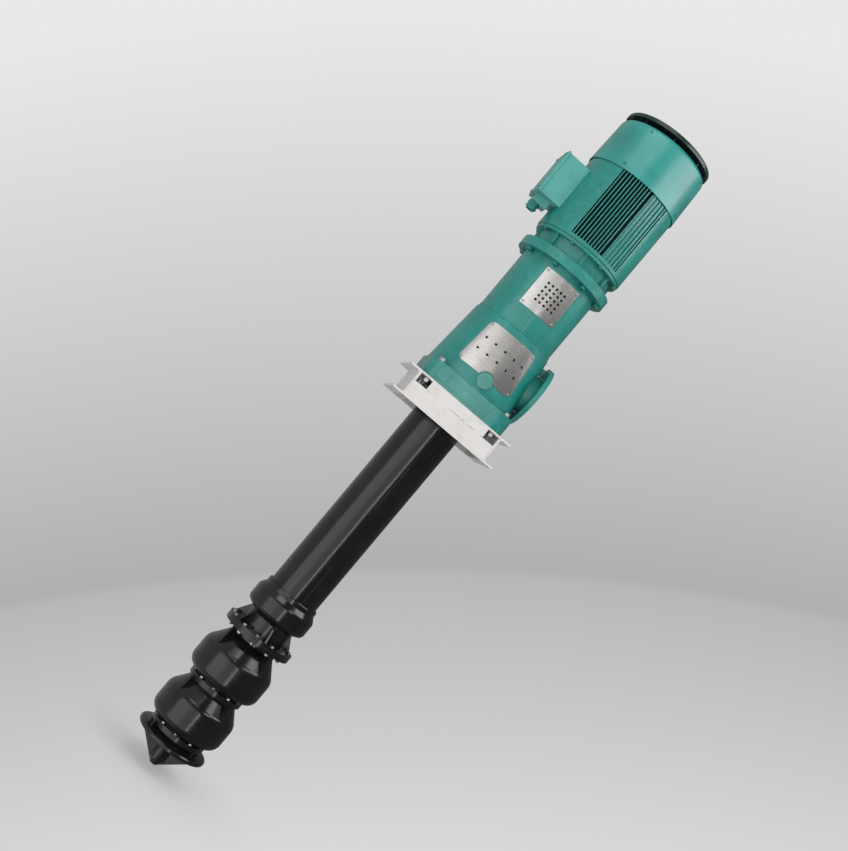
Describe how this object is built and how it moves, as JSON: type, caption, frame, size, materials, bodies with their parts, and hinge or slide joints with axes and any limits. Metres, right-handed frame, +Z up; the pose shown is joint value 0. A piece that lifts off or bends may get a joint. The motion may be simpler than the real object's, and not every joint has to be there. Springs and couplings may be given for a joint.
{
  "type": "vertical line-shaft turbine pump",
  "caption": "Vertical line-shaft turbine pump: finned motor on a cast discharge head and channel base frame, with a column pipe, turbine bowls and a ribbed suction bell below.",
  "frame": {"origin": "on the pump's vertical axis, at the underside of the base frame, where it stands on its foundation", "axes": "+Z up along the pump's axis; +X to the discharge flange; -X to the motor's terminal box; -Y to the front with the blank round boss"},
  "size_m": [0.5941, 0.45, 3.411],
  "materials": {
    "teal_enamel": "gloss",
    "black_coating": "satin",
    "white_primer": "matte",
    "canopy_enamel": "gloss",
    "stainless_sheet": "satin",
    "zinc_steel": "satin",
    "ground_steel": "polished",
    "bronze": "satin",
    "grey_iron": "matte",
    "winding_copper": "gloss",
    "moulded_plastic": "matte",
    "graphite_packing": "matte"
  },
  "bodies": {
    "pump_body": {"base_channel_left": "white_primer", "base_channel_right": "white_primer", "cross_member_front": "white_primer", "cross_member_rear": "white_primer", "discharge_head": "teal_enamel", "head_bolts": "zinc_steel", "stuffing_box": "black_coating", "packing_rings": "graphite_packing", "gland_studs": "zinc_steel", "motor_stool": "teal_enamel", "stool_bolts": "zinc_steel", "guard_lower_front": "stainless_sheet", "guard_lower_rear": "stainless_sheet", "guard_upper_front": "stainless_sheet", "guard_upper_rear": "stainless_sheet", "guard_screws": "zinc_steel", "drive_endshield": "teal_enamel", "motor_flange_bolts": "teal_enamel", "motor_frame": "teal_enamel", "endshield_bolts": "teal_enamel", "stator_core": "grey_iron", "stator_windings": "winding_copper", "rear_endshield": "teal_enamel", "bearing_outer_races": "ground_steel", "fan_cowl": "teal_enamel", "cowl_screws": "teal_enamel", "rain_canopy": "canopy_enamel", "terminal_box": "teal_enamel", "terminal_box_lid": "teal_enamel", "lid_screws": "teal_enamel", "cable_gland": "teal_enamel", "terminal_block": "moulded_plastic", "column_pipe": "black_coating", "column_bolts": "zinc_steel", "discharge_case": "black_coating", "shaft_bushes": "bronze", "flange_bolts": "zinc_steel", "bowl_upper": "black_coating", "bowl_lower": "black_coating", "bowl_screws": "zinc_steel", "wear_rings": "bronze", "suction_bell": "black_coating"},
    "rotor": {"motor_shaft": "ground_steel", "rotor_core": "grey_iron", "cooling_fan": "moulded_plastic", "bearing_inner_races": "ground_steel", "coupling_motor_half": "grey_iron", "coupling_adjusting_nut": "bronze", "coupling_pump_half": "grey_iron", "coupling_bolts": "zinc_steel", "head_shaft": "ground_steel", "shaft_coupling": "ground_steel", "bowl_shaft": "ground_steel", "impeller_upper": "bronze", "impeller_lower": "bronze", "impeller_collets": "ground_steel", "sand_collar": "bronze"},
    "gland": {"gland_follower": "bronze", "gland_nuts": "zinc_steel"},
    "ball_set": {"bearing_balls": "ground_steel"}
  },
  "joints": [
    {"name": "rotor_spin", "type": "hinge", "parent": "pump_body", "child": "rotor", "pos_m": [0, 0, 0], "axis": [0, 0, 1], "continuous": true},
    {"name": "ball_orbit", "type": "hinge", "parent": "pump_body", "child": "ball_set", "pos_m": [0, 0, 0.9], "axis": [0, 0, 1], "continuous": true},
    {"name": "gland_slide", "type": "slide", "parent": "pump_body", "child": "gland", "axis": [0, 0, 1], "range_m": [0, 0.02]}
  ],
  "couplings": [
    {"joint": "ball_orbit", "follows": "rotor_spin", "ratio": 0.4}
  ]
}
